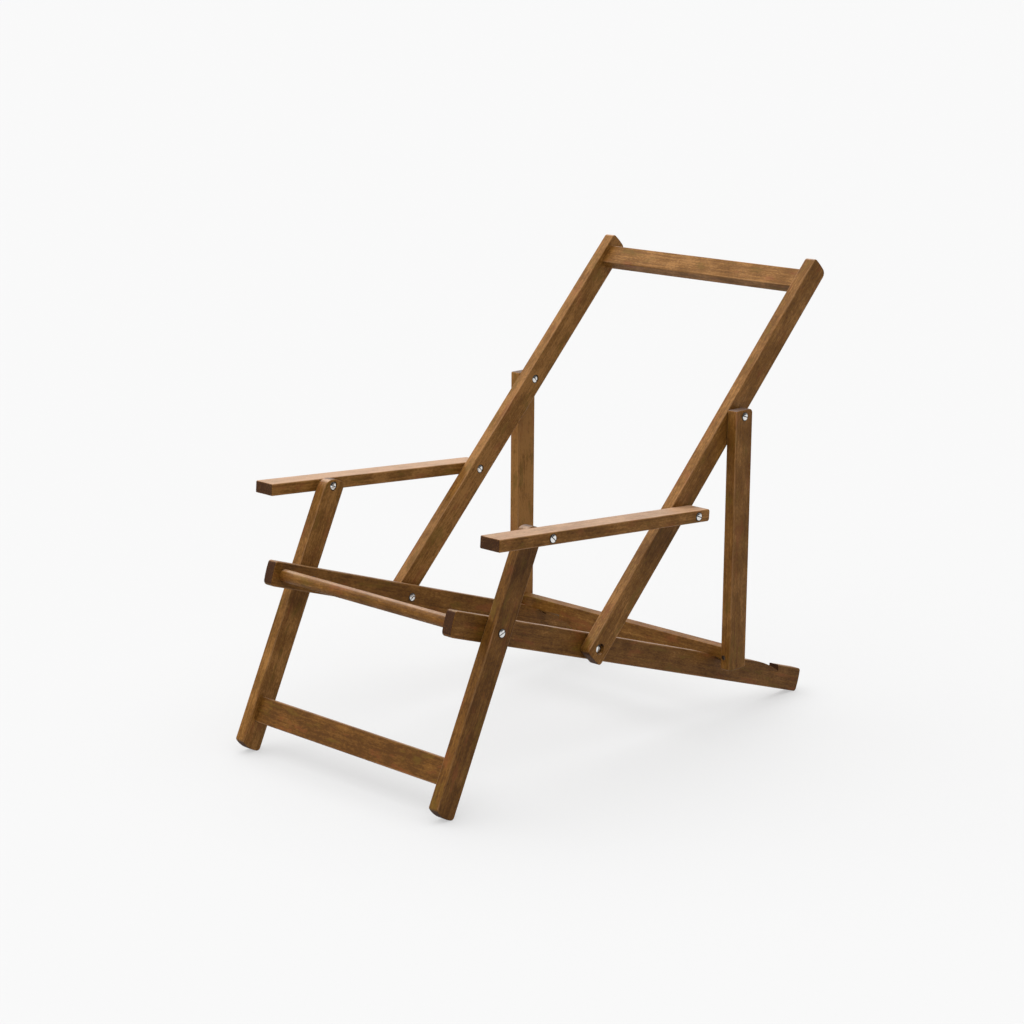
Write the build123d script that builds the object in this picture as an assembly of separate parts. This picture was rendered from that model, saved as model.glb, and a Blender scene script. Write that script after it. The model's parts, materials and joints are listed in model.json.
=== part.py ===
from build123d import *
import math
import os

# Folding deck chair frame, shown without its sling. Millimetres and degrees.
# The chair faces -Y, its left side is +X and +Z is up. The origin lies on the floor,
# at the middle of the chair's footprint.
#
# Every board is drawn in its own side-view frame: local X runs along the board, local Y
# across it and local Z through its thickness, with zero at a pivot.

# Boards
BOARD_WIDTH = 46.8
BOARD_THICK = 22.7
HALF_WIDTH = BOARD_WIDTH / 2
HALF_THICK = BOARD_THICK / 2
EDGE_ROUND = 2.0

# The boards lie in three layers on each side, with thin washers between them
HALF_CLEAR = 222.9
LAYER_GAP = 0.8
RAIL_X = HALF_CLEAR
FRAME_X = RAIL_X + BOARD_THICK + LAYER_GAP
ARM_X = FRAME_X + BOARD_THICK + LAYER_GAP

# Distances between pivots. The last one lets the four-bar linkage fold flat.
RAIL_LEG_TO_STILE = 266.0
LEG_RAIL_TO_ARM = 180.0
STILE_RAIL_TO_ARM = 303.0
STILE_RAIL_TO_SUPPORT = 527.0
ARM_LEG_TO_STILE = RAIL_LEG_TO_STILE + STILE_RAIL_TO_ARM - LEG_RAIL_TO_ARM

# Angles above the horizontal, looking along -X, with the chair open in its first notch
RAIL_ANGLE = -18.33
STILE_ANGLE = 45.53
SUPPORT_ANGLE = 89.45

# Reach of each board from its pivot: the leg's foot is worked out from the floor
RAIL_FRONT = -99.5
RAIL_REAR = 917.3
LEG_TOP = 194.0
STILE_BOTTOM = -22.5
STILE_TOP = 885.5
ARM_FRONT = -519.5
ARM_REAR = 31.5
POST_TOP = 12.3
POST_BOTTOM = -491.0

# The legs' pivots are drilled this far in front of the boards' centreline
LEG_SETBACK = 2.4

# Corner radii of the board ends in side view: lower or rear corner, then upper or front corner
RAIL_FRONT_CORNERS = (9.0, 6.0)
RAIL_REAR_CORNERS = (6.5, 6.0)
FOOT_CORNERS = (7.0, 5.0)
LEG_TOP_CORNERS = (6.0, 26.0)
STILE_BOTTOM_CORNERS = (6.0, 10.0)
STILE_TOP_CORNERS = (12.0, 8.0)
ARM_FRONT_CORNERS = (2.5, 2.5)
ARM_REAR_CORNERS = (5.0, 5.0)
POST_BOTTOM_CORNERS = (4.0, 4.0)
POST_TOP_CORNERS = (8.0, 3.0)

# Radii of the crowned board ends
RAIL_CROWN = 170.0
FOOT_CROWN = 58.0
FOOT_CROWN_APEX = -10.0
STILE_TOP_CROWN = 150.0

# Front dowel
DOWEL_RADIUS = 12.0
DOWEL_ALONG = -71.4
DOWEL_SOCKET = 12.0

# Cross members: lower and upper edges measured along the boards they join
STRETCHER_BOTTOM = -280.4
STRETCHER_TOP = -232.2
TOP_RAIL_BOTTOM = 821.3
TOP_RAIL_TOP = 863.3
BAR_TOP = -451.2
BAR_END_BOTTOM = -483.0
BAR_MID_BOTTOM = -505.0
BAR_SHOULDER_OUT = 163.0
BAR_SHOULDER_IN = 95.0
BAR_BEVEL_ALONG = 16.5
BAR_BEVEL_UP = 10.0

# Tenons that join the cross members to the boards
TENON_LENGTH = 14.0
TENON_THICK = 10.0
TENON_SHOULDER = 6.0
GLUE_GAP = 0.1
MORTISE_EXTRA = 1.0

# Notches that hold the support's crossbar
NOTCH_COUNT = 2
NOTCH_SPACING = 185.0
NOTCH_DEPTH = 11.9
NOTCH_RAMP = 77.0
NOTCH_PLAY = 0.4

# Pivot hardware: a sleeve nut fixed in the inner board, and a screw in its bore
HEAD_RADIUS = 8.0
HEAD_HEIGHT = 2.4
HEAD_RIM = 0.9
NUT_SLOT_TURN = 65.0
SLOT_WIDTH = 1.7
SLOT_DEPTH = 1.2
SLEEVE_RADIUS = 4.0
SCREW_RADIUS = 2.5
WASHER_RADIUS = 9.0
FIT_PLAY = 0.05
SLIDE_GAP = 0.1
SLEEVE_SHORT = 1.0
RECESS_RADIUS = 10.25
RECESS_DEPTH = 6.5
NUT_RECESS_RADIUS = 9.0
NUT_RECESS_DEPTH = 2.6

# The leg's top pivot is left open: the armrest's screw moves inside a wider pocket in the leg
OPEN_PIVOT_RADIUS = 10.2
OPEN_PIVOT_DEPTH = 10.0
OPEN_SCREW_REACH = 8.0

# Lock screws in the support posts
LOCK_ALONG = -466.5
LOCK_INSET = 7.0
LOCK_HEAD_RADIUS = 4.5
LOCK_HEAD_HEIGHT = 1.4
LOCK_SHANK_RADIUS = 2.0
LOCK_LENGTH = 30.0


# ---------------------------------------------------------------- side-view geometry
def along(angle, distance):
    """Side-view offset (Y, Z) of a distance along a board."""
    turn = math.radians(angle)
    return Vector(0, distance * math.cos(turn), distance * math.sin(turn))


def leg_angle_from_linkage(arm_stile_point):
    """Leg angle that closes the four-bar linkage of rail, leg, armrest and stile."""
    diagonal = arm_stile_point.length
    cosine = LEG_RAIL_TO_ARM ** 2 + diagonal ** 2 - ARM_LEG_TO_STILE ** 2
    cosine = cosine / (2 * LEG_RAIL_TO_ARM * diagonal)
    return angle_of(arm_stile_point) + math.degrees(math.acos(cosine))


def angle_of(offset):
    return math.degrees(math.atan2(offset.Z, offset.Y))


# Pivots, measured from the rail-leg pivot
RAIL_LEG = Vector(0, 0, 0)
RAIL_STILE = along(RAIL_ANGLE, RAIL_LEG_TO_STILE)
ARM_STILE = RAIL_STILE + along(STILE_ANGLE, STILE_RAIL_TO_ARM)
STILE_SUPPORT = RAIL_STILE + along(STILE_ANGLE, STILE_RAIL_TO_SUPPORT)
LEG_ANGLE = leg_angle_from_linkage(ARM_STILE)
LEG_ARM = along(LEG_ANGLE, LEG_RAIL_TO_ARM)
ARM_ANGLE = angle_of(ARM_STILE - LEG_ARM)


def side_plane(x, point, angle):
    """Side-view frame of a board whose inner face is at x."""
    return Plane(origin=(x, point.Y, point.Z), x_dir=along(angle, 1), z_dir=(1, 0, 0))


# ---------------------------------------------------------------- boards
class BoardEnd:
    """One end of a board in side view: how far it reaches, its corner radii and its crown."""

    def __init__(self, reach, corners, crown_radius=None, crown_apex=0.0):
        self.reach = reach
        self.low_round, self.high_round = corners
        self.crown_radius = crown_radius
        self.crown_apex = crown_apex

    def corner(self, across, inward):
        """Corner point at the board's edge; inward is +1 at the start and -1 at the end."""
        if self.crown_radius is None:
            return (self.reach, across)
        aside = across - self.crown_apex
        drop = self.crown_radius - math.sqrt(self.crown_radius ** 2 - aside ** 2)
        return (self.reach + inward * drop, across)

    def edge(self, inward, half):
        low = self.corner(-half, inward)
        high = self.corner(half, inward)
        if self.crown_radius is None:
            return Line(low, high)
        return ThreePointArc(low, (self.reach, self.crown_apex), high)


def board_outline(start, end, half=HALF_WIDTH):
    """Side view of a board between two ends, with its corners rounded."""
    start_low = start.corner(-half, 1)
    start_high = start.corner(half, 1)
    end_low = end.corner(-half, -1)
    end_high = end.corner(half, -1)
    edges = [start.edge(1, half), Line(start_high, end_high), end.edge(-1, half), Line(end_low, start_low)]
    outline = make_face(edges)
    corners = [
        (start_low, start.low_round),
        (start_high, start.high_round),
        (end_low, end.low_round),
        (end_high, end.high_round),
    ]
    for point, radius in corners:
        vertex = outline.vertices().sort_by_distance((*point, 0))[0]
        outline = fillet(vertex, radius)
    return outline


def eased_board(outline, thick=BOARD_THICK):
    """Board of an outline, with the edges around both flat faces rounded."""
    board = extrude(outline, thick)
    faces = board.faces().sort_by(Axis.Z)
    rims = faces[0].edges() + faces[-1].edges()
    return fillet(rims, EDGE_ROUND)


def hole(at, radius, thick=BOARD_THICK):
    """Cutter for a round hole through a board."""
    return Pos(at, 0, thick / 2) * Cylinder(radius, 2 * thick)


def sleeve_hole(at, thick=BOARD_THICK):
    return hole(at, SLEEVE_RADIUS + FIT_PLAY, thick=thick)


def nut_recess(at):
    """Shallow recess in a board's inner face, so that a sleeve nut's head stays below it."""
    return Pos(at, 0, 0) * Cylinder(NUT_RECESS_RADIUS, 2 * NUT_RECESS_DEPTH)


def tenon_height(low, high):
    return high - low - 2 * TENON_SHOULDER


def mortise(low, high, centre):
    """Blind pocket in a board's inner face for the tenon of a cross member."""
    deep = TENON_LENGTH + MORTISE_EXTRA
    pocket = Box(tenon_height(low, high) + 2 * GLUE_GAP, TENON_THICK + 2 * GLUE_GAP, deep)
    return Pos((low + high) / 2, centre, deep / 2) * pocket


# ---------------------------------------------------------------- seat rails
def notch_wall_along():
    """Where the first notch's wall starts: just behind the resting crossbar."""
    plane = side_plane(0, RAIL_LEG, RAIL_ANGLE)
    rear_face = -HALF_THICK - NOTCH_PLAY
    support = side_plane(0, STILE_SUPPORT, SUPPORT_ANGLE)
    low = plane.to_local_coords(support.from_local_coords(Vector(BAR_END_BOTTOM, rear_face, 0)))
    high = plane.to_local_coords(support.from_local_coords(Vector(BAR_TOP, rear_face, 0)))
    share = (HALF_WIDTH - NOTCH_DEPTH - low.Y) / (high.Y - low.Y)
    return low.X + share * (high.X - low.X)


def notch_cutter(wall):
    """Ramp that falls as an arc from the rail's top edge to an undercut wall."""
    lean = math.tan(math.radians(SUPPORT_ANGLE - RAIL_ANGLE - 90))
    above = NOTCH_DEPTH + BOARD_THICK
    start = (wall - NOTCH_RAMP, HALF_WIDTH)
    bottom = (wall, HALF_WIDTH - NOTCH_DEPTH)
    wall_top = (wall - lean * above, bottom[1] + above)
    start_top = (start[0], wall_top[1])
    edges = [
        TangentArc(start, bottom, tangent=(1, 0)),
        Line(bottom, wall_top),
        Line(wall_top, start_top),
        Line(start_top, start),
    ]
    return Pos(0, 0, -BOARD_THICK) * extrude(make_face(edges), 3 * BOARD_THICK)


def rail_outline():
    front = BoardEnd(RAIL_FRONT, RAIL_FRONT_CORNERS, RAIL_CROWN)
    rear = BoardEnd(RAIL_REAR, RAIL_REAR_CORNERS, RAIL_CROWN)
    return board_outline(front, rear)


def seat_rail():
    rail = eased_board(rail_outline())
    wall = notch_wall_along()
    for number in range(NOTCH_COUNT):
        rail -= notch_cutter(wall + number * NOTCH_SPACING)
    rail -= sleeve_hole(0)
    rail -= sleeve_hole(RAIL_LEG_TO_STILE)
    socket = Cylinder(DOWEL_RADIUS + GLUE_GAP, DOWEL_SOCKET)
    rail -= Pos(DOWEL_ALONG, 0, DOWEL_SOCKET / 2) * socket
    return side_plane(RAIL_X, RAIL_LEG, RAIL_ANGLE) * rail


def front_dowel():
    length = 2 * (RAIL_X + DOWEL_SOCKET - MORTISE_EXTRA)
    centre = along(RAIL_ANGLE, DOWEL_ALONG)
    return Pos(centre) * Rot(0, 90, 0) * Cylinder(DOWEL_RADIUS, length)


# ---------------------------------------------------------------- front leg frame
def leg_outline(foot_reach):
    foot = BoardEnd(foot_reach, FOOT_CORNERS, FOOT_CROWN, FOOT_CROWN_APEX)
    top = BoardEnd(LEG_TOP, LEG_TOP_CORNERS)
    return Pos(0, -LEG_SETBACK) * board_outline(foot, top)


def lowest_point(outline, angle):
    """Height of an outline's lowest point once its board is turned to its angle."""
    return (Rot(0, 0, angle) * outline).bounding_box().min.Y


def leg_foot_reach(floor):
    """Foot position along the leg that brings its lowest point to the floor."""
    trial = -BOARD_WIDTH
    lowest = lowest_point(leg_outline(trial), LEG_ANGLE)
    return trial + (floor - lowest) / math.sin(math.radians(LEG_ANGLE))


# The rails rest on their rear lower corners, and the legs reach down to the same floor
FLOOR = lowest_point(rail_outline(), RAIL_ANGLE)
LEG_FOOT = leg_foot_reach(FLOOR)


def front_leg():
    leg = eased_board(leg_outline(LEG_FOOT))
    leg -= sleeve_hole(0)
    leg -= sleeve_hole(LEG_RAIL_TO_ARM)
    leg -= nut_recess(LEG_RAIL_TO_ARM)
    leg -= Pos(LEG_RAIL_TO_ARM, 0, BOARD_THICK) * Cylinder(OPEN_PIVOT_RADIUS, 2 * OPEN_PIVOT_DEPTH)
    leg -= mortise(STRETCHER_BOTTOM, STRETCHER_TOP, -LEG_SETBACK)
    return side_plane(FRAME_X, RAIL_LEG, LEG_ANGLE) * leg


def tenons(low, high, centre, half_length):
    full_length = 2 * (half_length + TENON_LENGTH)
    return Pos((low + high) / 2, centre, 0) * Box(tenon_height(low, high), TENON_THICK, full_length)


def cross_member(low, high, centre, half_length):
    """Straight board across the chair, with a tenon at each end."""
    body = Pos((low + high) / 2, centre, 0) * Box(high - low, BOARD_THICK, 2 * half_length)
    body = fillet(body.edges().filter_by(Axis.Z), EDGE_ROUND)
    return body + tenons(low, high, centre, half_length)


def leg_stretcher():
    bar = cross_member(STRETCHER_BOTTOM, STRETCHER_TOP, -LEG_SETBACK, FRAME_X)
    return side_plane(0, RAIL_LEG, LEG_ANGLE) * bar


# ---------------------------------------------------------------- back frame
def back_stile():
    bottom = BoardEnd(STILE_BOTTOM, STILE_BOTTOM_CORNERS)
    top = BoardEnd(STILE_TOP, STILE_TOP_CORNERS, STILE_TOP_CROWN)
    stile = eased_board(board_outline(bottom, top))
    stile -= sleeve_hole(0)
    for at in (STILE_RAIL_TO_ARM, STILE_RAIL_TO_SUPPORT):
        stile -= sleeve_hole(at)
        stile -= nut_recess(at)
    stile -= Pos(0, 0, BOARD_THICK) * Cylinder(RECESS_RADIUS, 2 * RECESS_DEPTH)
    stile -= mortise(TOP_RAIL_BOTTOM, TOP_RAIL_TOP, 0)
    return side_plane(FRAME_X, RAIL_STILE, STILE_ANGLE) * stile


def top_rail():
    bar = cross_member(TOP_RAIL_BOTTOM, TOP_RAIL_TOP, 0, FRAME_X)
    return side_plane(0, RAIL_STILE, STILE_ANGLE) * bar


# ---------------------------------------------------------------- armrests
def armrest():
    front = BoardEnd(ARM_FRONT, ARM_FRONT_CORNERS)
    rear = BoardEnd(ARM_REAR, ARM_REAR_CORNERS)
    arm = eased_board(board_outline(front, rear, HALF_THICK), BOARD_WIDTH)
    arm -= sleeve_hole(0, thick=BOARD_WIDTH)
    arm -= hole(-ARM_LEG_TO_STILE, SCREW_RADIUS + FIT_PLAY, thick=BOARD_WIDTH)
    return side_plane(ARM_X, ARM_STILE, ARM_ANGLE) * arm


# ---------------------------------------------------------------- support frame
def support_post():
    bottom = BoardEnd(POST_BOTTOM, POST_BOTTOM_CORNERS)
    top = BoardEnd(POST_TOP, POST_TOP_CORNERS)
    post = eased_board(board_outline(bottom, top))
    post -= sleeve_hole(0)
    post -= mortise(BAR_END_BOTTOM, BAR_TOP, 0)
    post -= lock_screw_shape(LOCK_SHANK_RADIUS + FIT_PLAY, LOCK_LENGTH)
    return side_plane(ARM_X, STILE_SUPPORT, SUPPORT_ANGLE) * post


def lock_screw_shape(radius, length):
    """Shank of a lock screw, driven rearwards from the post's front edge."""
    shank = Cylinder(radius, length, align=(Align.CENTER, Align.CENTER, Align.MAX))
    return Pos(LOCK_ALONG, HALF_WIDTH, LOCK_INSET) * Rot(-90, 0, 0) * shank


def support_crossbar():
    """Crossbar with a deeper middle: each shoulder is a pair of equal arcs."""
    middle_out = (BAR_SHOULDER_OUT + BAR_SHOULDER_IN) / 2
    middle_low = (BAR_END_BOTTOM + BAR_MID_BOTTOM) / 2
    upper_arc = TangentArc((BAR_END_BOTTOM, BAR_SHOULDER_OUT), (middle_low, middle_out), tangent=(0, -1))
    lower_arc = TangentArc((BAR_MID_BOTTOM, BAR_SHOULDER_IN), (middle_low, middle_out), tangent=(0, 1))
    half = [
        Line((BAR_TOP, 0), (BAR_TOP, ARM_X)),
        Line((BAR_TOP, ARM_X), (BAR_END_BOTTOM, ARM_X)),
        Line((BAR_END_BOTTOM, ARM_X), (BAR_END_BOTTOM, BAR_SHOULDER_OUT)),
        upper_arc,
        lower_arc,
        Line((BAR_MID_BOTTOM, BAR_SHOULDER_IN), (BAR_MID_BOTTOM, 0)),
    ]
    other_half = [mirror(edge, about=Plane.XZ) for edge in half]
    outline = make_face(half + other_half)
    bar = Pos(0, 0, -HALF_THICK) * extrude(outline, BOARD_THICK)
    bar = fillet(bar.edges().filter_by(Axis.Y).group_by(Axis.X)[-1], EDGE_ROUND)
    # turned so that local Z runs across the chair, as in the other boards
    bar = Rot(90, 0, 0) * bar
    bar += tenons(BAR_END_BOTTOM, BAR_TOP, 0, ARM_X)
    shank = lock_screw_shape(LOCK_SHANK_RADIUS + FIT_PLAY, LOCK_LENGTH)
    for side in (-1, 1):
        bar -= bar_bevel(side)
        bar -= Pos(0, 0, side * (ARM_X + LOCK_INSET) - LOCK_INSET) * shank
    return side_plane(0, STILE_SUPPORT, SUPPORT_ANGLE) * bar


def bar_bevel(side):
    """Wedge taken off the crossbar's lower front edge, where it lies on a notch ramp."""
    wedge = make_face(
        Polyline(
            (BAR_END_BOTTOM, HALF_THICK),
            (BAR_END_BOTTOM + BAR_BEVEL_UP, HALF_THICK),
            (BAR_END_BOTTOM, HALF_THICK - BAR_BEVEL_ALONG),
            close=True,
        )
    )
    length = ARM_X - BAR_SHOULDER_OUT
    inner = BAR_SHOULDER_OUT if side > 0 else -ARM_X
    return Pos(0, 0, inner) * extrude(wedge, length)


# ---------------------------------------------------------------- pivot hardware
def slotted_head(radius, height, rim, slot_angle):
    """Domed screw head on local Z = 0, with a screwdriver slot."""
    rise = height - rim
    dome_radius = (radius ** 2 + rise ** 2) / (2 * rise)
    head = Cylinder(radius, height, align=(Align.CENTER, Align.CENTER, Align.MIN))
    head = head & (Pos(0, 0, height - dome_radius) * Sphere(dome_radius))
    slot = Pos(0, 0, height) * Rot(0, 0, slot_angle) * Box(2.2 * radius, SLOT_WIDTH, 2 * SLOT_DEPTH)
    return head - slot


def rod(radius, length):
    """Cylinder that hangs down from local Z = 0."""
    return Cylinder(radius, length, align=(Align.CENTER, Align.CENTER, Align.MAX))


class Pivot:
    """Pivot pin through an inner and an outer board, with a washer between them.

    The sleeve nut is fixed in the inner board, with its head against inner_x. Unless the pivot
    is open, the screw fills the sleeve and the outer board turns under the screw's head.
    """

    def __init__(self, name, point, inner_x, washer_x, outer_x, slot_angle, is_open=False):
        self.name = name
        self.point = point
        self.inner_x = inner_x
        self.washer_x = washer_x
        self.outer_x = outer_x
        self.slot_angle = slot_angle
        self.is_open = is_open

    def plane(self, x, direction):
        return Plane(origin=(x, self.point.Y, self.point.Z), x_dir=(0, 1, 0), z_dir=(direction, 0, 0))

    def screw(self):
        """Screw from the outer side: its head stands just clear of a board that turns under it."""
        head_x = self.outer_x + SLIDE_GAP
        tip_x = self.inner_x + SLEEVE_SHORT
        if self.is_open:
            head_x = self.outer_x
            tip_x = self.washer_x - OPEN_SCREW_REACH
        head = slotted_head(HEAD_RADIUS, HEAD_HEIGHT, HEAD_RIM, self.slot_angle)
        return self.plane(head_x, 1) * (head + rod(SCREW_RADIUS, head_x - tip_x))

    def sleeve_nut(self):
        """Sleeve that the boards turn on, with a head against the inner board."""
        length = self.outer_x - SLEEVE_SHORT - self.inner_x
        if self.is_open:
            length = self.washer_x - OPEN_PIVOT_DEPTH - SLEEVE_SHORT - self.inner_x
        head = slotted_head(HEAD_RADIUS, HEAD_HEIGHT, HEAD_RIM, self.slot_angle + NUT_SLOT_TURN)
        barrel = rod(SLEEVE_RADIUS, length)
        bore = rod(SCREW_RADIUS + FIT_PLAY, 2 * length)
        return self.plane(self.inner_x, -1) * (head + (barrel - bore))

    def washer(self):
        """Ring that keeps the boards apart, just clear of the board that turns against it."""
        thick = LAYER_GAP - SLIDE_GAP
        start = self.washer_x + SLIDE_GAP if self.is_open else self.washer_x
        ring = Cylinder(WASHER_RADIUS, thick) - Cylinder(SLEEVE_RADIUS + FIT_PLAY, 2 * thick)
        return self.plane(start + thick / 2, 1) * ring


RAIL_OUT = RAIL_X + BOARD_THICK
FRAME_OUT = FRAME_X + BOARD_THICK
POST_OUT = ARM_X + BOARD_THICK
ARM_OUT = ARM_X + BOARD_WIDTH
FRAME_NUT_X = FRAME_X + NUT_RECESS_DEPTH

PIVOTS = [
    Pivot("rail_leg", RAIL_LEG, RAIL_X, RAIL_OUT, FRAME_OUT, 20),
    Pivot("rail_stile", RAIL_STILE, RAIL_X, RAIL_OUT, FRAME_OUT - RECESS_DEPTH, 75),
    Pivot("leg_arm", LEG_ARM, FRAME_NUT_X, FRAME_OUT, ARM_OUT, 140, is_open=True),
    Pivot("arm_stile", ARM_STILE, FRAME_NUT_X, FRAME_OUT, ARM_OUT, 158),
    Pivot("stile_support", STILE_SUPPORT, FRAME_NUT_X, FRAME_OUT, POST_OUT, 163),
]


def lock_screw():
    """Small screw that locks the crossbar's tenon in its post."""
    head = slotted_head(LOCK_HEAD_RADIUS, LOCK_HEAD_HEIGHT, LOCK_HEAD_HEIGHT / 2, 30)
    screw = head + rod(LOCK_SHANK_RADIUS, LOCK_LENGTH - MORTISE_EXTRA)
    local = Pos(LOCK_ALONG, HALF_WIDTH, LOCK_INSET) * Rot(-90, 0, 0) * screw
    return side_plane(ARM_X, STILE_SUPPORT, SUPPORT_ANGLE) * local


# ---------------------------------------------------------------- assembly
def right_side(shape):
    """The same piece on the chair's right side."""
    return mirror(shape, about=Plane.YZ)


def chair_nodes():
    nodes = {}
    boards = {
        "seat_rail": seat_rail(),
        "front_leg": front_leg(),
        "back_stile": back_stile(),
        "armrest": armrest(),
        "support_post": support_post(),
    }
    for name, board in boards.items():
        nodes[name + "_left"] = board
        nodes[name + "_right"] = right_side(board)
    nodes["front_dowel"] = front_dowel()
    nodes["leg_stretcher"] = leg_stretcher()
    nodes["top_rail"] = top_rail()
    nodes["support_crossbar"] = support_crossbar()
    hardware = {"support_lock_screws": lock_screw()}
    for pivot in PIVOTS:
        hardware[pivot.name + "_sleeve_nuts"] = pivot.sleeve_nut()
        if pivot.is_open:
            # each armrest carries its own screw and washer
            nodes[pivot.name + "_screw_left"] = pivot.screw()
            nodes[pivot.name + "_screw_right"] = right_side(pivot.screw())
            nodes[pivot.name + "_washer_left"] = pivot.washer()
            nodes[pivot.name + "_washer_right"] = right_side(pivot.washer())
        else:
            hardware[pivot.name + "_screws"] = pivot.screw()
            hardware[pivot.name + "_washers"] = pivot.washer()
    for name, piece in hardware.items():
        nodes[name] = Compound([piece, right_side(piece)])
    return nodes


def origin_offset(nodes):
    """Move that brings the origin to the floor, at the middle of the footprint."""
    box = Compound(list(nodes.values())).bounding_box()
    return Vector(0, -(box.min.Y + box.max.Y) / 2, -box.min.Z)


NODES = chair_nodes()
OFFSET = origin_offset(NODES)

os.makedirs("parts", exist_ok=True)
for node_name, node_shape in NODES.items():
    export_step(Pos(OFFSET) * node_shape, f"parts/{node_name}.step")
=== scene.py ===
import json
import math

import bpy
from mathutils import Matrix, Vector


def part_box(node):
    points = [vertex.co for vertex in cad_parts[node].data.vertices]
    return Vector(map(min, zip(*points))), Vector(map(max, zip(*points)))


# Looks of the folding deck chair: metres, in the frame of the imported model.

# Camera: where it looks from, and the point that its axis passes through,
# measured from the joint between seat rail and front leg
CAMERA_FROM_LEG_JOINT = Vector((0.0, 0.3013, 0.1158))
CAMERA_DIRECTION = Vector((0.6780, -0.6952, 0.2387))
CAMERA_DISTANCE = 4.557
CAMERA_LENS_MM = 85.74
SENSOR_MM = 36.0

# Studio: a broad light overhead, surroundings that are brighter on the chair's right side,
# and a pale floor that glows a little, so that shadows stay light
WHITE = (1.0, 1.0, 1.0, 1.0)
FLOOR_SIZE = 240.0
FLOOR_COLOUR = (0.22, 0.22, 0.22, 1.0)
FLOOR_GLOW = 0.50
KEY_STRENGTH = 5.5
KEY_ANGLE = math.radians(110.0)
KEY_TILT = (math.radians(6.0), math.radians(-8.0), 0.0)
BRIGHT_SIDE = Vector((-0.92, 0.40, 0.15))
SURROUND_DARK = 0.04
SURROUND_BRIGHT = 0.62
SURROUND_SPAN = (-0.6, 0.9)

# Boards
BOARD_WIDTH = 0.0468
BOARD_THICK = 0.0227
STRETCHER_HEIGHT = 0.0482
TOP_RAIL_HEIGHT = 0.0420
LEG_SETBACK = 0.0024
SUPPORT_LEAN = math.radians(0.55)

# Which local axes run along, across and through each kind of board, how broad it is,
# and how much painted sheen and how much of the hands' polish it has on top.
# NO_EDGES is broader than any board, for pieces that show no worn edges.
FLAT_SIDEWAYS = ("Y", "Z", "X")
FLAT_UPWARDS = ("Y", "X", "Z")
ACROSS_CHAIR = ("X", "Y", "Z")
NO_EDGES = 2.0
BOARD_KINDS = {
    "seat_rail": (FLAT_SIDEWAYS, BOARD_WIDTH, 0.6),
    "front_leg": (FLAT_SIDEWAYS, BOARD_WIDTH, 1.0),
    "back_stile": (FLAT_SIDEWAYS, BOARD_WIDTH, 1.0),
    "support_post": (FLAT_SIDEWAYS, BOARD_WIDTH, 1.0),
    "armrest": (FLAT_UPWARDS, BOARD_WIDTH, 1.0),
    "leg_stretcher": (ACROSS_CHAIR, STRETCHER_HEIGHT, 0.6),
    "top_rail": (ACROSS_CHAIR, TOP_RAIL_HEIGHT, 1.0),
    "support_crossbar": (ACROSS_CHAIR, NO_EDGES, 0.1),
    "front_dowel": (ACROSS_CHAIR, NO_EDGES, 0.8),
}

# Boards that are lighter or darker than the others, as an addition to their tone
BOARD_TONES = {
    "support_post_right": 0.18,
    "back_stile_right": 0.08,
    "front_leg_right": 0.05,
    "armrest_right": 0.11,
    "top_rail": 0.08,
    "back_stile_left": 0.03,
    "leg_stretcher": -0.06,
    "front_leg_left": -0.06,
    "seat_rail_left": -0.05,
    "seat_rail_right": -0.06,
}

# Wood colours, linear
WOOD_DARK = (0.080, 0.031, 0.005, 1.0)
WOOD_MID = (0.145, 0.061, 0.011, 1.0)
WOOD_LIGHT = (0.260, 0.120, 0.030, 1.0)
WOOD_RED = (0.180, 0.054, 0.015, 1.0)
WOOD_OLIVE = (0.122, 0.068, 0.008, 1.0)
WOOD_END = (0.032, 0.012, 0.006, 1.0)
# Painted sheen: the pale colour that top faces are mixed towards, standing in for the light they mirror
WOOD_TOP_SHEEN = (0.520, 0.330, 0.210, 1.0)
WOOD_EDGE = (0.330, 0.185, 0.090, 1.0)
WOOD_PORE = (0.045, 0.017, 0.005, 1.0)

# Noises on the wood: features per metre along, across and through a board, detail, roughness
WOOD_NOISES = {
    "streaks": ((9.0, 260.0, 260.0), 4.0, 0.60),
    "fibres": ((90.0, 1500.0, 1500.0), 2.0, 0.55),
    "flecks": ((160.0, 380.0, 380.0), 3.0, 0.70),
    "patches": ((22.0, 34.0, 34.0), 3.0, 0.55),
    "hues": ((14.0, 42.0, 42.0), 3.0, 0.65),
    "waver": ((5.0, 14.0, 14.0), 1.0, 0.55),
    "pores": ((130.0, 1500.0, 1500.0), 1.0, 0.55),
}
SEED_SHIFT = Vector((1.7, 0.31, 0.53))

# How much each noise counts for the wood's tone, and how far the boards' tones spread
TONE_WEIGHTS = {"streaks": 0.40, "fibres": 0.30, "flecks": 0.52, "patches": 0.46}
RING_WEIGHT = 0.02
TONE_BASE = -0.24
TONE_SPREAD = 0.025
SPREAD_STEP = 2.1

# Growth rings around a pith beside and below the board
RING_SPACING = 0.0065
RING_WAVER = 0.03
PITH_ACROSS = (0.03, 0.012)
PITH_BELOW = (-0.05, 0.02)
PITH_STEP = 2.3

# Tones and noise values between which one colour turns into the next, and the most it takes
DARK_TO_MID = (0.42, 0.62)
MID_TO_LIGHT = (0.60, 0.80)
RED_HUES = (0.56, 0.70)
OLIVE_HUES = (0.44, 0.32)
HUE_SHARE = 0.55
PORE_SPAN = (0.60, 0.70)
PORE_SHARE = 0.45
# Painted sheen on top faces: the tones over which it grows, and the most it takes
TOP_SHEEN_TONES = (0.40, 0.72)
TOP_SHEEN_SHARES = (0.15, 0.40)
WORN_STREAKS = (0.35, 0.65)
WORN_SHARES = (0.05, 0.45)
END_FLECKS = (0.35, 0.65)
END_SHARES = (0.95, 0.74)

# Where a surface counts as facing along the board or upwards, as a cosine
END_FACING = (0.72, 0.92)
UP_FACING = (0.80, 0.98)

# The boards' eased edges, and how softly their wear begins
EASED = 0.002
EASED_BLUR = 0.0006

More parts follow.
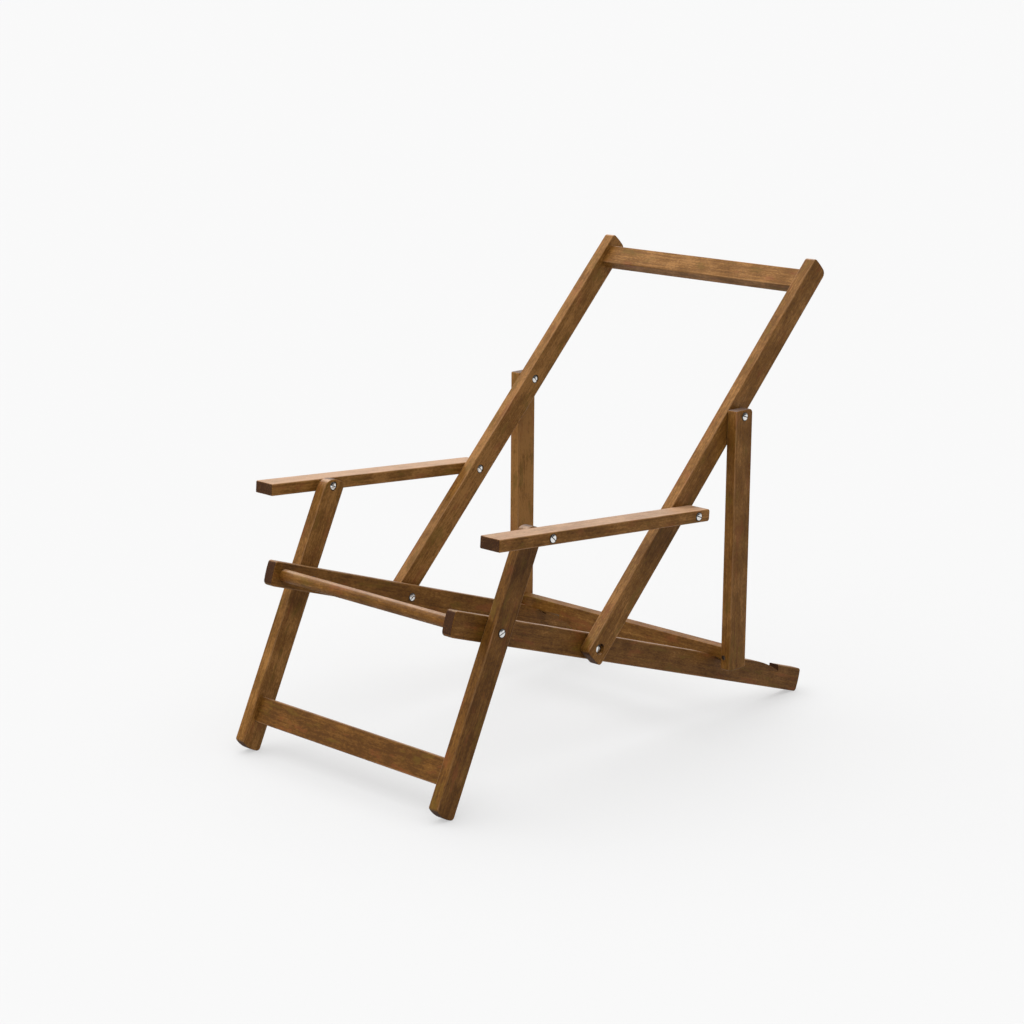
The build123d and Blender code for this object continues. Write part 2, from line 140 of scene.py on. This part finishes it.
# How strongly the oiled wood mirrors: more on top, where hands have polished it
SIDE_GLOSS = 0.09
TOP_GLOSS = 0.50
PATCH_SPAN = (0.3, 0.7)
WOOD_ROUGHNESS = (0.52, 0.40)
END_ROUGHER = 0.2
FIBRE_RELIEF = 0.5
PORE_RELIEF = -0.6
RELIEF_DEPTH = 0.0004
RELIEF_STRENGTH = 0.3

# Metals: colour, roughness and strength of the scratches
NICKEL = ((0.80, 0.79, 0.77, 1.0), 0.12, 0.05)
WASHER_STEEL = ((0.30, 0.29, 0.28, 1.0), 0.35, 0.2)
BRONZED_STEEL = ((0.10, 0.07, 0.05, 1.0), 0.35, 0.1)
BLOTS_PER_METRE = (180.0, 180.0, 180.0)
SCRATCHES_PER_METRE = (900.0, 2600.0, 900.0)
SCRATCH_DEPTH = 0.0001
BLOT_DARKNESS = 0.86
BLOT_ROUGHER = 0.12
BLOT_TONE_SPAN = (0.35, 0.65)
BLOT_ROUGH_SPAN = (0.3, 0.7)

# Painted shade lies in the slots and around the rims of the screw heads, this far below their tops
HEAD_SHADE_DEPTHS = (0.0010, 0.00115)
PAINTED_HEAD_SHADE = (0.020, 0.016, 0.012, 1.0)
HEAD_SHADE_ROUGHER = 0.4
HEAD_SHADE_COVER = 0.8


# ---------------------------------------------------------------- shader helper
class Graph:
    """Short ways to add and join the nodes of an empty shader tree."""

    def __init__(self, tree):
        self.tree = tree
        self.tree.nodes.clear()

    def add(self, kind, inputs=None, **settings):
        node = self.tree.nodes.new("ShaderNode" + kind)
        for name, value in settings.items():
            setattr(node, name, value)
        for name, value in (inputs or {}).items():
            self.feed(node.inputs[name], value)
        return node

    def feed(self, socket, value):
        if isinstance(value, bpy.types.NodeSocket):
            self.tree.links.new(value, socket)
        else:
            socket.default_value = value

    def math(self, operation, *values):
        node = self.add("Math", operation=operation)
        for socket, value in zip(node.inputs, values):
            self.feed(socket, value)
        return node.outputs[0]

    def vector(self, operation, *values):
        node = self.add("VectorMath", operation=operation)
        for socket, value in zip(node.inputs, values):
            self.feed(socket, value)
        return node.outputs["Value"] if operation in ("DOT_PRODUCT", "LENGTH") else node.outputs["Vector"]

    def noise(self, place, per_metre, detail, roughness=0.55):
        """Noise with so many features per metre on each axis."""
        scaled = self.vector("MULTIPLY", place, per_metre)
        inputs = {"Vector": scaled, "Scale": 1.0, "Detail": detail, "Roughness": roughness}
        return self.add("TexNoise", inputs).outputs["Fac"]

    def span(self, value, low, high, to_low=0.0, to_high=1.0):
        """Value from low..high, smoothly mapped to to_low..to_high."""
        inputs = {"Value": value, "From Min": low, "From Max": high, "To Min": to_low, "To Max": to_high}
        return self.add("MapRange", inputs, interpolation_type="SMOOTHSTEP").outputs["Result"]

    def mix(self, share, first, second):
        """Colour between two colours: the node's sockets for colour have these numbers."""
        node = self.add("Mix", data_type="RGBA")
        self.feed(node.inputs["Factor"], share)
        self.feed(node.inputs[6], first)
        self.feed(node.inputs[7], second)
        return node.outputs[2]

    def finish(self, output_kind, surface):
        output = self.add(output_kind)
        self.tree.links.new(surface, output.inputs["Surface"])


def new_material(name):
    material = bpy.data.materials.new(name)
    material.use_nodes = True
    return material, Graph(material.node_tree)


# ---------------------------------------------------------------- wood
def board_space(graph, centre, turn, order):
    """Position on a board as (along, across, through), in metres from a point on its centreline."""
    rotation = Matrix.Rotation(-turn, 3, "X")
    inputs = {
        "Vector": graph.add("TexCoord").outputs["Object"],
        "Location": -(rotation @ centre),
        "Rotation": (-turn, 0.0, 0.0),
    }
    mapping = graph.add("Mapping", inputs, vector_type="POINT")
    split = graph.add("SeparateXYZ", {"Vector": mapping.outputs["Vector"]})
    return [split.outputs[axis] for axis in order]


def edge_mask(graph, across, through, width):
    """1 on the eased edges of a board, 0 on its faces."""
    beyond_width = graph.math("SUBTRACT", graph.math("ABSOLUTE", across), width / 2 - EASED)
    beyond_thick = graph.math("SUBTRACT", graph.math("ABSOLUTE", through), BOARD_THICK / 2 - EASED)
    return graph.span(graph.math("MINIMUM", beyond_width, beyond_thick), -EASED_BLUR, EASED_BLUR)


def growth_rings(graph, place, waver, seed):
    """Faint growth rings around a pith that lies outside the board."""
    pith_across = PITH_ACROSS[0] + PITH_ACROSS[1] * math.sin(seed)
    pith_below = PITH_BELOW[0] + PITH_BELOW[1] * math.cos(PITH_STEP * seed)
    cross_section = graph.vector("MULTIPLY", place, (0.0, 1.0, 1.0))
    from_pith = graph.vector("SUBTRACT", cross_section, (0.0, pith_across, pith_below))
    bent = graph.math("MULTIPLY", waver, RING_WAVER)
    radius = graph.math("ADD", graph.vector("LENGTH", from_pith), bent)
    return graph.math("SINE", graph.math("MULTIPLY", radius, 2 * math.pi / RING_SPACING))


def end_grain_mask(graph, turn, order):
    """1 where the surface faces along the board."""
    local_axis = Vector([1.0 if order[0] == axis else 0.0 for axis in "XYZ"])
    axis = Matrix.Rotation(turn, 3, "X") @ local_axis
    facing = graph.vector("DOT_PRODUCT", graph.add("TexCoord").outputs["Normal"], axis)
    return graph.span(graph.math("ABSOLUTE", facing), *END_FACING)


def upward_mask(graph):
    """1 where the surface faces up."""
    facing = graph.vector("DOT_PRODUCT", graph.add("TexCoord").outputs["Normal"], (0.0, 0.0, 1.0))
    return graph.span(facing, *UP_FACING)


def wood_tone(graph, noises, place, seed, tone_shift):
    """Light and dark of the wood, from its noises and growth rings."""
    tone = TONE_BASE + tone_shift + TONE_SPREAD * math.sin(SPREAD_STEP * seed)
    for name, weight in TONE_WEIGHTS.items():
        tone = graph.math("ADD", graph.math("MULTIPLY", noises[name], weight), tone)
    rings = growth_rings(graph, place, noises["waver"], seed)
    return graph.math("ADD", tone, graph.math("MULTIPLY", rings, RING_WEIGHT))


def heartwood_colour(graph, noises, tone, pores):
    """Colour of planed wood, before the painted top sheen, wear and end grain."""
    colour = graph.mix(graph.span(tone, *DARK_TO_MID), WOOD_DARK, WOOD_MID)
    colour = graph.mix(graph.span(tone, *MID_TO_LIGHT), colour, WOOD_LIGHT)
    colour = graph.mix(graph.span(noises["hues"], *RED_HUES, 0.0, HUE_SHARE), colour, WOOD_RED)
    colour = graph.mix(graph.span(noises["hues"], *OLIVE_HUES, 0.0, HUE_SHARE), colour, WOOD_OLIVE)
    return graph.mix(graph.math("MULTIPLY", pores, PORE_SHARE), colour, WOOD_PORE)


def wood(name, centre, turn, order, width, top_sheen_and_polish, seed, tone_shift):
    """Oiled hardwood with streaks, rings, pores and stain patches, with a painted sheen and a polish on
    top.
    """
    material, graph = new_material(name)
    along, across, through = board_space(graph, centre, turn, order)
    place = graph.add("CombineXYZ", {"X": along, "Y": across, "Z": through}).outputs["Vector"]
    shifted = graph.vector("ADD", place, seed * SEED_SHIFT)
    noises = {noise: graph.noise(shifted, *values) for noise, values in WOOD_NOISES.items()}
    pores = graph.span(noises["pores"], *PORE_SPAN)
    tone = wood_tone(graph, noises, place, seed, tone_shift)
    colour = heartwood_colour(graph, noises, tone, pores)

    # Painted sheen: faces that point up are mixed towards a pale colour, as a painted highlight
    upward = upward_mask(graph)
    sheen_shares = [top_sheen_and_polish * share for share in TOP_SHEEN_SHARES]
    painted_sheen = graph.math("MULTIPLY", upward, graph.span(tone, *TOP_SHEEN_TONES, *sheen_shares))
    colour = graph.mix(painted_sheen, colour, WOOD_TOP_SHEEN)

    edges = edge_mask(graph, across, through, width)
    worn = graph.math("MULTIPLY", edges, graph.span(noises["streaks"], *WORN_STREAKS, *WORN_SHARES))
    colour = graph.mix(worn, colour, WOOD_EDGE)

    end_grain = end_grain_mask(graph, turn, order)
    end_share = graph.math("MULTIPLY", end_grain, graph.span(noises["flecks"], *END_FLECKS, *END_SHARES))
    colour = graph.mix(end_share, colour, WOOD_END)

    roughness = graph.span(noises["patches"], *PATCH_SPAN, *WOOD_ROUGHNESS)
    roughness = graph.math("ADD", roughness, graph.math("MULTIPLY", end_grain, END_ROUGHER))
    gloss = graph.math("ADD", SIDE_GLOSS, graph.math("MULTIPLY", upward, TOP_GLOSS * top_sheen_and_polish))
    fibre_height = graph.math("MULTIPLY", noises["fibres"], FIBRE_RELIEF)
    height = graph.math("ADD", fibre_height, graph.math("MULTIPLY", pores, PORE_RELIEF))
    bump = graph.add("Bump", {"Height": height, "Strength": RELIEF_STRENGTH, "Distance": RELIEF_DEPTH})
    inputs = {
        "Base Color": colour,
        "Roughness": roughness,
        "Specular IOR Level": gloss,
        "Normal": bump.outputs["Normal"],
    }
    graph.finish("OutputMaterial", graph.add("BsdfPrincipled", inputs).outputs["BSDF"])
    return material


# ---------------------------------------------------------------- metal
def painted_shade_mask(graph, place, top, direction):
    """1 in the slots and rims of heads whose tops lie at a distance from the chair's middle plane, where
    shade is painted.

    direction is 1 where depth grows away from the middle plane, and -1 where it grows towards it.
    """
    sideways = graph.add("SeparateXYZ", {"Vector": place}).outputs["X"]
    from_top = graph.math("SUBTRACT", graph.math("ABSOLUTE", sideways), top)
    return graph.span(graph.math("MULTIPLY", from_top, direction), *HEAD_SHADE_DEPTHS)


def metal(name, look, head_top=None):
    """Plated or bare steel with fine scratches and blots, and painted shade low on its heads if it has any.
    """
    colour, roughness, scratch_strength = look
    material, graph = new_material(name)
    place = graph.add("TexCoord").outputs["Object"]
    blots = graph.noise(place, BLOTS_PER_METRE, detail=2.0)
    scratches = graph.noise(place, SCRATCHES_PER_METRE, detail=2.0)
    dulled = tuple(BLOT_DARKNESS * part for part in colour[:3]) + (1.0,)
    tint = graph.mix(graph.span(blots, *BLOT_TONE_SPAN), colour, dulled)
    dullness = graph.span(blots, *BLOT_ROUGH_SPAN, roughness, roughness + BLOT_ROUGHER)
    metallic = 1.0
    if head_top is not None:
        # Painted shade: the heads' slots and rims turn dark, duller and less metallic
        head_shade = painted_shade_mask(graph, place, *head_top)
        tint = graph.mix(head_shade, tint, PAINTED_HEAD_SHADE)
        dullness = graph.math("ADD", dullness, graph.math("MULTIPLY", head_shade, HEAD_SHADE_ROUGHER))
        metallic = graph.math("SUBTRACT", 1.0, graph.math("MULTIPLY", head_shade, HEAD_SHADE_COVER))
    bump = graph.add("Bump", {"Height": scratches, "Strength": scratch_strength, "Distance": SCRATCH_DEPTH})
    inputs = {
        "Base Color": tint,
        "Metallic": metallic,
        "Roughness": dullness,
        "Normal": bump.outputs["Normal"],
    }
    graph.finish("OutputMaterial", graph.add("BsdfPrincipled", inputs).outputs["BSDF"])
    return material


# ---------------------------------------------------------------- where the boards lie
def side_angle(start, end):
    """Angle of a line in side view, from the rear horizontal."""
    return math.atan2(end.z - start.z, end.y - start.y)


def middle(node):
    low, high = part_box(node)
    return (low + high) / 2


def joint_place(frame, name):
    for joint in frame["joints"]:
        if joint["name"] == name:
            return Vector(joint["pos_m"])
    raise ValueError(name)


def board_lines(frame):
    """A point on the centreline of each kind of board, and the board's angle in side view."""
    rail_leg = joint_place(frame, "leg_fold")
    rail_stile = joint_place(frame, "back_fold")
    arm_stile = joint_place(frame, "left_armrest_fold")
    support = joint_place(frame, "support_fold")
    leg_arm = middle("leg_arm_screw_left")
    rail = side_angle(rail_leg, rail_stile)
    leg = side_angle(rail_leg, leg_arm)
    stile = side_angle(rail_stile, arm_stile)
    post = math.pi / 2 - SUPPORT_LEAN
    behind_leg_pivot = Vector((0.0, math.sin(leg), -math.cos(leg))) * LEG_SETBACK
    return {
        "seat_rail": (rail_leg, rail),
        "front_leg": (rail_leg + behind_leg_pivot, leg),
        "back_stile": (rail_stile, stile),
        "armrest": (arm_stile, side_angle(leg_arm, arm_stile)),
        "support_post": (support, post),
        "leg_stretcher": (middle("leg_stretcher"), leg),
        "top_rail": (middle("top_rail"), stile),
        "support_crossbar": (middle("support_crossbar"), post),
        "front_dowel": (middle("front_dowel"), 0.0),
    }


def paint(node, material):
    node.data.materials.clear()
    node.data.materials.append(material)


def paint_wood(frame):
    """Its own piece of wood for each board, so that no two have the same grain."""
    lines = board_lines(frame)
    seed = 1.0
    for name, node in sorted(frame["nodes"].items()):
        kind = name.removesuffix("_left").removesuffix("_right")
        if kind not in BOARD_KINDS:
            continue
        order, width, top_sheen_and_polish = BOARD_KINDS[kind]
        point, turn = lines[kind]
        centre = Vector((middle(name).x, point.y, point.z))
        tone_shift = BOARD_TONES.get(name, 0.0)
        paint(node, wood("wood_" + name, centre, turn, order, width, top_sheen_and_polish, seed, tone_shift))
        seed += 1.0


def head_top(name, node):
    """Distance of the heads' tops from the middle plane, and the direction in which depth grows.

    Screw heads are the outermost part of a screw, and nut heads the innermost part of a nut.
    """
    distances = [abs(vertex.co.x) for vertex in node.data.vertices]
    if "_nuts" in name:
        return min(distances), 1.0
    return max(distances), -1.0


def paint_metal(frame):
    steel = metal("washer_steel", WASHER_STEEL)
    bronzed = metal("lock_screw_bronzed", BRONZED_STEEL)
    for name, node in frame["nodes"].items():
        if "lock_screws" in name:
            paint(node, bronzed)
        elif "_washer" in name:
            paint(node, steel)
        elif "_screw" in name or "_nuts" in name:
            paint(node, metal("nickel_" + name, NICKEL, head_top(name, node)))


# ---------------------------------------------------------------- studio
def floor():
    bpy.ops.mesh.primitive_plane_add(size=FLOOR_SIZE, location=(0.0, 0.0, 0.0))
    plane = bpy.context.object
    plane.name = "studio_floor"
    material, graph = new_material("floor_paper")
    diffuse = graph.add("BsdfDiffuse", {"Color": FLOOR_COLOUR, "Roughness": 0.0})
    glow = graph.add("Emission", {"Color": WHITE, "Strength": FLOOR_GLOW})
    both = graph.add("AddShader", {0: diffuse.outputs["BSDF"], 1: glow.outputs["Emission"]})
    graph.finish("OutputMaterial", both.outputs["Shader"])
    plane.data.materials.append(material)


def key_light():
    data = bpy.data.lights.new("key", "SUN")
    data.energy = KEY_STRENGTH
    data.angle = KEY_ANGLE
    light = bpy.data.objects.new("key", data)
    light.rotation_euler = KEY_TILT
    bpy.context.scene.collection.objects.link(light)


def surroundings():
    world = bpy.data.worlds.new("studio")
    world.use_nodes = True
    graph = Graph(world.node_tree)
    direction = graph.add("TexCoord").outputs["Generated"]
    facing = graph.vector("DOT_PRODUCT", direction, BRIGHT_SIDE.normalized())
    strength = graph.span(facing, *SURROUND_SPAN, SURROUND_DARK, SURROUND_BRIGHT)
    background = graph.add("Background", {"Color": WHITE, "Strength": strength})
    graph.finish("OutputWorld", background.outputs["Background"])
    bpy.context.scene.world = world


def camera(frame):
    data = bpy.data.cameras.new("camera")
    data.lens = CAMERA_LENS_MM
    data.sensor_width = SENSOR_MM
    data.clip_end = FLOOR_SIZE
    viewer = bpy.data.objects.new("camera", data)
    bpy.context.scene.collection.objects.link(viewer)
    target = joint_place(frame, "leg_fold") + CAMERA_FROM_LEG_JOINT
    viewer.location = target + CAMERA_DIRECTION.normalized() * CAMERA_DISTANCE
    viewer.rotation_euler = (target - viewer.location).to_track_quat("-Z", "Y").to_euler()
    bpy.context.scene.camera = viewer


with open("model.json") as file:
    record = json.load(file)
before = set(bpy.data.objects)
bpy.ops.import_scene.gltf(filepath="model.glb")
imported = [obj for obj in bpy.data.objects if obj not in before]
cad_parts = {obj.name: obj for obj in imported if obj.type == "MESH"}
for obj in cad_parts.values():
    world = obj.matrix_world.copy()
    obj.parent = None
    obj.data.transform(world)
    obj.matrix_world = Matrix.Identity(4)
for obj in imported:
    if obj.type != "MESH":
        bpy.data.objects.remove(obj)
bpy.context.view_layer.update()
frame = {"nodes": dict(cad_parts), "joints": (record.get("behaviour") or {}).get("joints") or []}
paint_wood(frame)
paint_metal(frame)
floor()
key_light()
surroundings()
camera(frame)
bpy.context.scene.view_settings.view_transform = "Standard"
